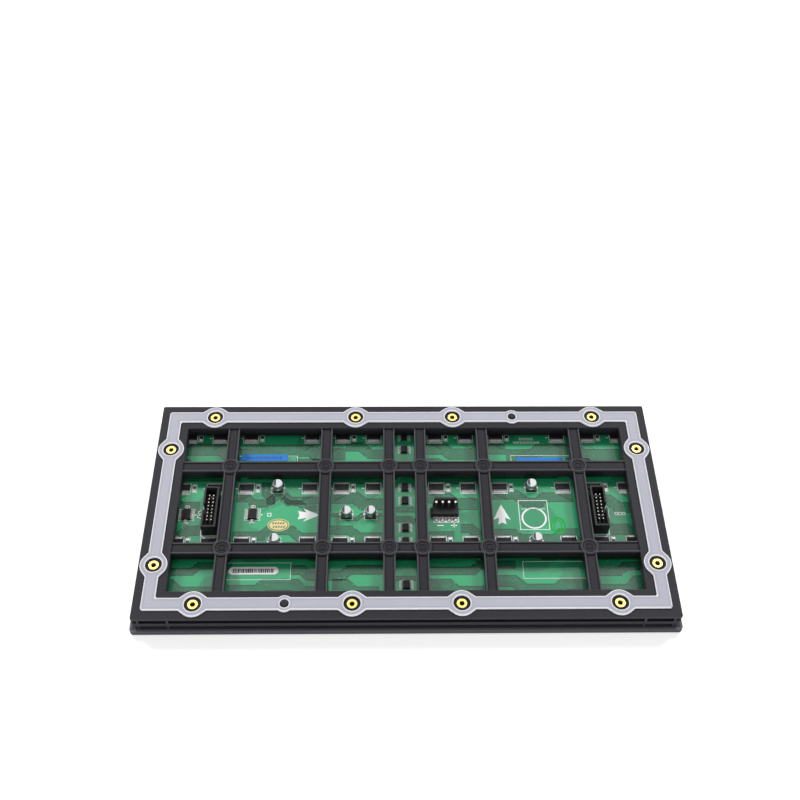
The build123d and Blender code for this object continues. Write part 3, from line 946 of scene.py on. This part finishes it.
blue = Piece()
blue.prism(rounded_strip(30, 5.2, -90.2, 43.4, 40, 0.45), label_z, label_top)
blue.prism(rounded_strip(30, 5.2, 87.5, 40.4, 40, 0.2), label_z, label_top)
blue.store("blue_labels", label_film("blue film", (0.002, 0.17, 0.58), (0.003, 0.21, 0.68), 0.55))
navy_bars = Piece()
bar = [(0, 0), (1.0, 0), (1.0, 1.7), (0, 1.7)]
navy_bars.prism(bar, 0, print_rise, [(-101.2 + 1.75 * k, 42.4, label_top) for k in range(13)])
navy_bars.store("blue_label_print", label_film("navy ink", (0.003, 0.06, 0.22), (0.004, 0.08, 0.28), 0.55))

white = Piece()
white.prism(rounded_strip(29.8, 5.3, -91.1, -40.4, 48, 1.0), label_z, label_top)
white.store("white_label", label_film("white paper", (0.93, 0.94, 0.93), (0.97, 0.97, 0.97), 0.6))
bars = Piece()
left = -103.5
while left < -79.5:
    right = left + float(rng.choice([0.45, 0.7, 0.9]))
    outline = [(left, -41.9), (right, -41.9), (right, -39.1), (left, -39.1)]
    bars.prism(outline, label_top, label_top + print_rise)
    left = right + float(rng.choice([0.25, 0.4]))
bars.store("label_bars", label_film("bar ink", (0.02, 0.02, 0.02), (0.04, 0.04, 0.04), 0.5))

yellow = Piece()
yellow.prism(ellipse(13.5, 9.2, yellow_x, yellow_y), label_z, label_top)
yellow.store("yellow_label", label_film("yellow film", (0.70, 0.65, 0.30), (0.80, 0.74, 0.36), 0.5))
trim = Piece()
trim.strip(ellipse(11.8, 7.6, yellow_x, yellow_y), 0.6, label_top + 0.01, closed=True)
for row_y, start in ((-6.9, -81.9), (-9.5, -81.4)):
    for k in range(5):
        foot = start + 1.6 * k
        trim.strip([(foot, row_y - 0.7), (foot + 0.7, row_y + 0.7)], 0.85, label_top + 0.01)
trim.store("yellow_label_ring", label_film("olive ink", (0.10, 0.09, 0.03), (0.16, 0.14, 0.05), 0.5))

stamp = Piece()
stamp.strip(ellipse(8.4, 11.6, stamp_x, stamp_y), 1.1, label_z + 0.02, closed=True)
stamp.strip(ellipse(4.6, 8.4, stamp_x, stamp_y, 40), 0.8, label_z + 0.02, closed=True)
stamp.store("green_stamp", label_film("green ink", (0.0, 0.39, 0.03), (0.001, 0.46, 0.045), 0.75))

# Brass inserts
# Turned brass sleeves, pressed into bosses of the case's frame a little proud of its face.
# A bright chamfer and the sharp rings of a thread show in each bore; the thread's brass is painted dark as
# the shade down the bore.

insert_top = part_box("threaded_inserts")[1].z * 1000
thread_pitch, thread_rings = 0.7, 9
long_inserts = [(sx * x, sy * seal_y) for x in insert_x for sx in (-1, 1) for sy in (-1, 1)]
short_inserts = [(sx * seal_x, sy * insert_y) for sx in (-1, 1) for sy in (-1, 1)]

brass = Surface("turned brass")
swirl = brass.noise(1.4, 4)
brass.finish(
    Base_Color=brass.blend(swirl, (0.78, 0.60, 0.16), (0.92, 0.77, 0.28)),
    Metallic=1.0,
    Roughness=0.24 + swirl * 0.2,
    Normal=brass.bump(swirl, 0.015, brass.round_edges(0.2)),
)
dress("threaded_inserts", brass)
thread_brass = Surface("thread brass")
swirl = thread_brass.noise(1.4, 4)
# Painted shade: the thread's brass is dark down the bore.
painted_bore_shade = thread_brass.blend(swirl, (0.12, 0.075, 0.03), (0.26, 0.17, 0.06))
chamfer = (thread_brass.axes()[2] - insert_top).ramp(-0.35, -0.2)
thread_brass.finish(
    Base_Color=thread_brass.blend(chamfer, painted_bore_shade, (0.85, 0.67, 0.2)),
    Metallic=1.0,
    Roughness=0.3 + swirl * 0.2,
)
thread_profile = [(2.1, 0.006), (1.66, 0.004), (1.5, -0.1)]
for k in range(thread_rings):
    thread_profile += [(1.64, -0.35 - thread_pitch * k), (1.44, -0.7 - thread_pitch * k)]
threads = Piece()
threads.turned(thread_profile, 20, [(x, y, insert_top) for x, y in long_inserts + short_inserts])
threads.store("insert_threads", thread_brass)

# Mask screws
# Blackened steel screws that clamp mask and board to the case, their heads sunk in the mask.
# Each head has a cross recess, drawn as a flat cross just below it and painted near-black as the recess's
# shade.

recess_low_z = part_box("mask_screws")[0].z * 1000 - 0.01

steel = Surface("blackened steel")
wear_and_painted_light = steel.noise(1.5, 4)
steel.finish(
    Base_Color=steel.blend(wear_and_painted_light, (0.03, 0.03, 0.034), (0.09, 0.09, 0.095)),
    Metallic=1.0,
    Roughness=0.35 + wear_and_painted_light * 0.25,
    Normal=steel.bump(wear_and_painted_light, 0.02, steel.round_edges(0.2)),
)
dress("mask_screws", steel)
# Painted shade: the flat cross is near-black where the recess would lie in shade.
painted_recess_shade = Surface("screw recess")
painted_recess_shade.finish(
    Base_Color=painted_recess_shade.blend(painted_recess_shade.noise(2.0), (0.004, 0.004, 0.004), (0.01, 0.01, 0.01)),
    Roughness=0.8,
)
half_cross = np.array([(1.3, 0.25), (0.25, 0.25), (0.25, 1.3), (-0.25, 1.3), (-0.25, 0.25), (-1.3, 0.25)])
arms = np.concatenate([half_cross, -half_cross])[::-1]
crosses = Piece()
cross_points = np.column_stack([arms, np.zeros(12)])
crosses.add(cross_points, [tuple(range(12))], [(x, y, recess_low_z) for x, y in bosses])
crosses.store("screw_recesses", painted_recess_shade)

# Lamps
# Surface-mounted packages, one in each window: white face, dark flanks, and a round cup in the face.
# A clear filling covers three dies in each cup.

lamp_face_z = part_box("led_lamps")[0].z * 1000
lamp_x, lamp_y = (np.arange(32) - 15.5) * 10, (np.arange(16) - 7.5) * 10
lamps = [(x, y) for y in lamp_y for x in lamp_x]

package = Surface("lamp package")
front = 1 - (package.axes()[2] - lamp_face_z).ramp(0.1, 0.25)
package.finish(
    Base_Color=package.blend(front, (0.02, 0.02, 0.021), (0.78, 0.79, 0.77)),
    Roughness=0.4 + package.noise(1.0) * 0.15,
    Normal=package.round_edges(0.12),
)
dress("led_lamps", package)
filling = Surface("lamp filling")
filling.finish(
    Base_Color=filling.blend(filling.noise(1.5), (0.60, 0.60, 0.52), (0.72, 0.72, 0.64)),
    Roughness=0.12,
    Coat_Weight=0.6,
)
cups = Piece()
cups.turned([(1.32, -0.012), (0.95, -0.012), (0, -0.012)], 20, [(x, y, lamp_face_z) for x, y in lamps])
cups.store("lamp_cups", filling)
die_grey = Surface("lamp dies")
die_grey.finish(
    Base_Color=die_grey.blend(die_grey.noise(2.5), (0.10, 0.10, 0.07), (0.22, 0.2, 0.14)),
    Roughness=0.3,
    Metallic=0.4,
)
dies = Piece()
for die_x, die_y in ((-0.55, -0.2), (0.0, 0.35), (0.55, -0.2)):
    dies.turned([(0.19, -0.02), (0.0, -0.02)], 6, [(x + die_x, y + die_y, lamp_face_z) for x, y in lamps])
dies.store("lamp_dies", die_grey)

# Potting
# Glossy black compound, poured round the lamps from the front, fills each window.
# It sinks a little towards the lamp: a frame of four sloping quads in each window.

window_half, lamp_half = 2.58, 1.76
rim_z, dip_z = 2.3, 1.75

compound = Surface("potting compound")
compound.finish(
    Base_Color=compound.blend(compound.noise(0.2, 3), (0.012, 0.012, 0.013), (0.022, 0.022, 0.024)),
    Roughness=0.16 + compound.noise(0.3) * 0.2,
    Coat_Weight=0.4,
)
corners = np.array(rectangle(2, 2))
rim_points = np.column_stack([window_half * corners, np.full(4, rim_z)])
dip_points = np.column_stack([lamp_half * corners, np.full(4, dip_z)])
slopes = [(i, 4 + i, 4 + (i + 1) % 4, (i + 1) % 4) for i in range(4)]
potting = Piece()
potting.add(np.concatenate([rim_points, dip_points]), slopes, [(x, y, 0) for x, y in lamps])
potting.store("potting_compound", compound)

# Louvre gussets
# Small ribs moulded with the mask that brace each louvre between the lamp columns.
# Each runs from the louvre's tip back along the sloping land.

gusset_half_width = 0.35
gusset_section = np.array([(4.35, 0.05), (3.0, 1.98), (1.4, 1.62), (2.9, 0.25)])
gusset_sides = [(3, 2, 1, 0), (4, 5, 6, 7), (0, 1, 5, 4), (1, 2, 6, 5), (2, 3, 7, 6), (3, 0, 4, 7)]

# The gussets' edges are painted paler as a highlight.
gusset_plastic = plastic("gusset plastic", (0.045, 0.044, 0.05), edge_mm=0.15, shine=0.25, edge_highlight=0.9)
cheeks = [np.column_stack([np.full(4, side * gusset_half_width), gusset_section]) for side in (-1, 1)]
between = (lamp_x[1:] + lamp_x[:-1]) / 2
gussets = Piece()
gussets.add(np.concatenate(cheeks), gusset_sides, [(x, y, 0) for y in lamp_y[:-1] for x in between])
gussets.store("louvre_gussets", gusset_plastic)

# Floor and light
# A plain white floor, a little below the louvre tips, that keeps the object's shadow, in a white studio.
# Two soft keys stand behind, a wide dim panel between them, one fill in front and one low down.

floor_half = 9000
floor_drop = 0.0003

white_floor = Surface("floor")
white_floor.finish(
    Base_Color=white_floor.blend(white_floor.noise(0.002), (0.92, 0.92, 0.92), (0.93, 0.93, 0.93)),
    Roughness=0.9,
    Emission_Color=white_floor.blend(white_floor.seen(), (0, 0, 0), (0.55, 0.55, 0.55)),
    Emission_Strength=1.0,
)
floor = Piece()
floor_corners = np.column_stack([rectangle(2 * floor_half, 2 * floor_half), np.zeros(4)])
floor.add(floor_corners, [(0, 1, 2, 3)])
ground = floor.make("floor", white_floor)
ground.location.z = -floor_drop

studio = Surface("studio", "worlds", "Background")
studio.finish(Color=(1, 1, 1), Strength=0.33 + studio.seen() * 0.67)
bpy.context.scene.world = studio.data


def area_light(name, place, size, power):
    """A square soft light aimed at the module's middle."""
    lamp = bpy.data.lights.new(name, "AREA")
    lamp.shape = "SQUARE"
    lamp.size = size
    lamp.energy = power
    made = bpy.data.objects.new(name, lamp)
    bpy.context.scene.collection.objects.link(made)
    made.location = place
    made.rotation_mode = "QUATERNION"
    made.rotation_quaternion = (Vector((0, 0, 0)) - Vector(place)).to_track_quat("-Z", "Y")


area_light("key_left", (-1.6, 1.75, 2.1), 0.8, 48)
area_light("key_right", (1.6, 1.75, 2.1), 0.8, 48)
area_light("back_panel", (0, 2.6, 3.1), 2.4, 6)
area_light("front_fill", (0, -2.2, 1.7), 1.6, 6)
area_light("low_fill", (0, -2.6, 0.32), 0.5, 30)

# Camera
# It stands where the photo's camera stood, in front of the module and above it.
# Its lens, place and directions come from a fit to the module's own right angles in the photo.

camera = bpy.data.cameras.new("camera")
camera.lens = 49.135
camera.sensor_width = 36
camera.clip_start = 0.02
camera.clip_end = 60
viewpoint = bpy.data.objects.new("camera", camera)
bpy.context.scene.collection.objects.link(viewpoint)
forward = Vector((0.01458, 0.63595, -0.77158)).normalized()
up = Vector((0.00173, 0.77165, 0.63604))
right = forward.cross(up).normalized()
up = right.cross(forward)
turn = Matrix((right, up, -forward)).transposed()
viewpoint.matrix_world = Matrix.Translation((-0.01301, -0.37721, 0.57418)) @ turn.to_4x4()
bpy.context.scene.camera = viewpoint
bpy.context.scene.view_settings.view_transform = "Standard"
